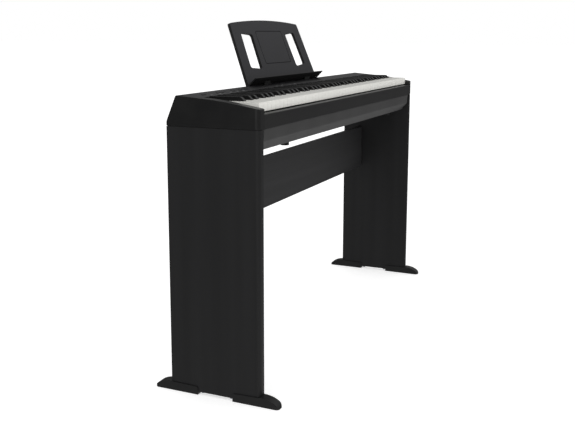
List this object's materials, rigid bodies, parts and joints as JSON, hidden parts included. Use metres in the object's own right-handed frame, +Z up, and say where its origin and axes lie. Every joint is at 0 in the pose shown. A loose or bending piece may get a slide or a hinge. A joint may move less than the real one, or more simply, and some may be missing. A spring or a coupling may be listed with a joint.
{
  "type": "digital piano on stand",
  "caption": "Slim black digital piano with a full weighted keyboard and a lift-off music rest, standing on two side boards with splayed feet and a back board.",
  "frame": {"origin": "on the floor under the middle of the piano", "axes": "+X towards the treble end, -Y towards the player, +Z up"},
  "size_m": [1.284, 0.348, 0.9359],
  "materials": {
    "board": "black foil on particle board",
    "foot_plastic": "moulded, fine grain",
    "case_plastic": "moulded, satin fine grain",
    "inner_plastic": "moulded, matte",
    "rest_plastic": "moulded, matte",
    "button_plastic": "moulded, matte, printed mark",
    "white_key": "ivory-feel white",
    "black_key": "ebony-feel matte black",
    "steel": "zinc plated",
    "rubber": "soft, matte",
    "felt": "pressed wool",
    "circuit_board": "lacquered board",
    "speaker_cone": "paper cone in a pressed basket"
  },
  "bodies": {
    "piano_and_stand": {"left_side_board": "board", "right_side_board": "board", "back_board": "board", "board_brackets": "steel", "board_screws": "steel", "left_front_foot": "foot_plastic", "left_rear_foot": "foot_plastic", "right_front_foot": "foot_plastic", "right_rear_foot": "foot_plastic", "foot_pads": "rubber", "foot_screws": "steel", "case_brackets": "steel", "thumb_screws": "inner_plastic", "left_end_block": "case_plastic", "right_end_block": "case_plastic", "top_cover": "case_plastic", "key_slip": "case_plastic", "lower_case": "inner_plastic", "case_feet": "rubber", "case_screws": "steel", "key_frame": "inner_plastic", "pivot_rod": "steel", "key_felt": "felt", "contact_board": "circuit_board", "main_board": "circuit_board", "left_speaker": "speaker_cone", "right_speaker": "speaker_cone", "speaker_grilles": "inner_plastic", "power_jack": "inner_plastic", "pedal_jack": "inner_plastic", "phones_jack": "inner_plastic", "usb_socket": "steel"},
    "music_rest": {"music_rest": "rest_plastic"},
    "power_button": {"power_button": "button_plastic"},
    "volume_down_button": {"volume_down_button": "button_plastic"},
    "volume_up_button": {"volume_up_button": "button_plastic"},
    "function_button": {"function_button": "button_plastic"},
    "song_button": {"song_button": "button_plastic"},
    "metronome_button": {"metronome_button": "button_plastic"},
    "piano_tone_button": {"piano_tone_button": "button_plastic"},
    "other_tone_button": {"other_tone_button": "button_plastic"},
    "key_c4": {"key_c4": "white_key"},
    "key_cs4": {"key_cs4": "black_key"},
    "key_d4": {"key_d4": "white_key"},
    "key_ds4": {"key_ds4": "black_key"},
    "key_e4": {"key_e4": "white_key"},
    "key_f4": {"key_f4": "white_key"},
    "key_fs4": {"key_fs4": "black_key"},
    "key_g4": {"key_g4": "white_key"},
    "key_gs4": {"key_gs4": "black_key"},
    "key_a4": {"key_a4": "white_key"},
    "key_as4": {"key_as4": "black_key"},
    "key_b4": {"key_b4": "white_key"},
    "keys_bass": {"white_keys_bass": "white_key", "black_keys_bass": "black_key"},
    "keys_tenor": {"white_keys_tenor": "white_key", "black_keys_tenor": "black_key"},
    "keys_alto": {"white_keys_alto": "white_key", "black_keys_alto": "black_key"}
  },
  "joints": [
    {"name": "music_rest_lift", "type": "slide", "parent": "piano_and_stand", "child": "music_rest", "axis": [0, 0, 1], "range_m": [0, 0.06]},
    {"name": "power_press", "type": "slide", "parent": "piano_and_stand", "child": "power_button", "axis": [0, 0.0896, -0.996], "range_m": [0, 0.0009], "stiffness_N_per_m": 200, "springref_m": -0.001},
    {"name": "volume_down_press", "type": "slide", "parent": "piano_and_stand", "child": "volume_down_button", "axis": [0, 0.0896, -0.996], "range_m": [0, 0.0009], "stiffness_N_per_m": 200, "springref_m": -0.001},
    {"name": "volume_up_press", "type": "slide", "parent": "piano_and_stand", "child": "volume_up_button", "axis": [0, 0.0896, -0.996], "range_m": [0, 0.0009], "stiffness_N_per_m": 200, "springref_m": -0.001},
    {"name": "function_press", "type": "slide", "parent": "piano_and_stand", "child": "function_button", "axis": [0, 0.0896, -0.996], "range_m": [0, 0.0009], "stiffness_N_per_m": 200, "springref_m": -0.001},
    {"name": "song_press", "type": "slide", "parent": "piano_and_stand", "child": "song_button", "axis": [0, 0.0896, -0.996], "range_m": [0, 0.0009], "stiffness_N_per_m": 200, "springref_m": -0.001},
    {"name": "metronome_press", "type": "slide", "parent": "piano_and_stand", "child": "metronome_button", "axis": [0, 0.0896, -0.996], "range_m": [0, 0.0009], "stiffness_N_per_m": 200, "springref_m": -0.001},
    {"name": "piano_tone_press", "type": "slide", "parent": "piano_and_stand", "child": "piano_tone_button", "axis": [0, 0.0896, -0.996], "range_m": [0, 0.0009], "stiffness_N_per_m": 200, "springref_m": -0.001},
    {"name": "other_tone_press", "type": "slide", "parent": "piano_and_stand", "child": "other_tone_button", "axis": [0, 0.0896, -0.996], "range_m": [0, 0.0009], "stiffness_N_per_m": 200, "springref_m": -0.001},
    {"name": "key_c4_press", "type": "hinge", "parent": "piano_and_stand", "child": "key_c4", "pos_m": [0, 0.092, 0.718], "axis": [1, 0, 0], "range_deg": [0, 2.8], "stiffness_Nm_per_rad": 1, "springref_deg": -5.16},
    {"name": "key_cs4_press", "type": "hinge", "parent": "piano_and_stand", "child": "key_cs4", "pos_m": [0, 0.092, 0.718], "axis": [1, 0, 0], "range_deg": [0, 2.8], "stiffness_Nm_per_rad": 1, "springref_deg": -5.16},
    {"name": "key_d4_press", "type": "hinge", "parent": "piano_and_stand", "child": "key_d4", "pos_m": [0, 0.092, 0.718], "axis": [1, 0, 0], "range_deg": [0, 2.8], "stiffness_Nm_per_rad": 1, "springref_deg": -5.16},
    {"name": "key_ds4_press", "type": "hinge", "parent": "piano_and_stand", "child": "key_ds4", "pos_m": [0, 0.092, 0.718], "axis": [1, 0, 0], "range_deg": [0, 2.8], "stiffness_Nm_per_rad": 1, "springref_deg": -5.16},
    {"name": "key_e4_press", "type": "hinge", "parent": "piano_and_stand", "child": "key_e4", "pos_m": [0, 0.092, 0.718], "axis": [1, 0, 0], "range_deg": [0, 2.8], "stiffness_Nm_per_rad": 1, "springref_deg": -5.16},
    {"name": "key_f4_press", "type": "hinge", "parent": "piano_and_stand", "child": "key_f4", "pos_m": [0, 0.092, 0.718], "axis": [1, 0, 0], "range_deg": [0, 2.8], "stiffness_Nm_per_rad": 1, "springref_deg": -5.16},
    {"name": "key_fs4_press", "type": "hinge", "parent": "piano_and_stand", "child": "key_fs4", "pos_m": [0, 0.092, 0.718], "axis": [1, 0, 0], "range_deg": [0, 2.8], "stiffness_Nm_per_rad": 1, "springref_deg": -5.16},
    {"name": "key_g4_press", "type": "hinge", "parent": "piano_and_stand", "child": "key_g4", "pos_m": [0, 0.092, 0.718], "axis": [1, 0, 0], "range_deg": [0, 2.8], "stiffness_Nm_per_rad": 1, "springref_deg": -5.16},
    {"name": "key_gs4_press", "type": "hinge", "parent": "piano_and_stand", "child": "key_gs4", "pos_m": [0, 0.092, 0.718], "axis": [1, 0, 0], "range_deg": [0, 2.8], "stiffness_Nm_per_rad": 1, "springref_deg": -5.16},
    {"name": "key_a4_press", "type": "hinge", "parent": "piano_and_stand", "child": "key_a4", "pos_m": [0, 0.092, 0.718], "axis": [1, 0, 0], "range_deg": [0, 2.8], "stiffness_Nm_per_rad": 1, "springref_deg": -5.16},
    {"name": "key_as4_press", "type": "hinge", "parent": "piano_and_stand", "child": "key_as4", "pos_m": [0, 0.092, 0.718], "axis": [1, 0, 0], "range_deg": [0, 2.8], "stiffness_Nm_per_rad": 1, "springref_deg": -5.16},
    {"name": "key_b4_press", "type": "hinge", "parent": "piano_and_stand", "child": "key_b4", "pos_m": [0, 0.092, 0.718], "axis": [1, 0, 0], "range_deg": [0, 2.8], "stiffness_Nm_per_rad": 1, "springref_deg": -5.16},
    {"name": "keys_bass_press", "type": "hinge", "parent": "piano_and_stand", "child": "keys_bass", "pos_m": [0, 0.092, 0.718], "axis": [1, 0, 0], "range_deg": [0, 2.8], "stiffness_Nm_per_rad": 27, "springref_deg": -5.16},
    {"name": "keys_tenor_press", "type": "hinge", "parent": "piano_and_stand", "child": "keys_tenor", "pos_m": [0, 0.092, 0.718], "axis": [1, 0, 0], "range_deg": [0, 2.8], "stiffness_Nm_per_rad": 12, "springref_deg": -5.16},
    {"name": "keys_alto_press", "type": "hinge", "parent": "piano_and_stand", "child": "keys_alto", "pos_m": [0, 0.092, 0.718], "axis": [1, 0, 0], "range_deg": [0, 2.8], "stiffness_Nm_per_rad": 37, "springref_deg": -5.16}
  ]
}
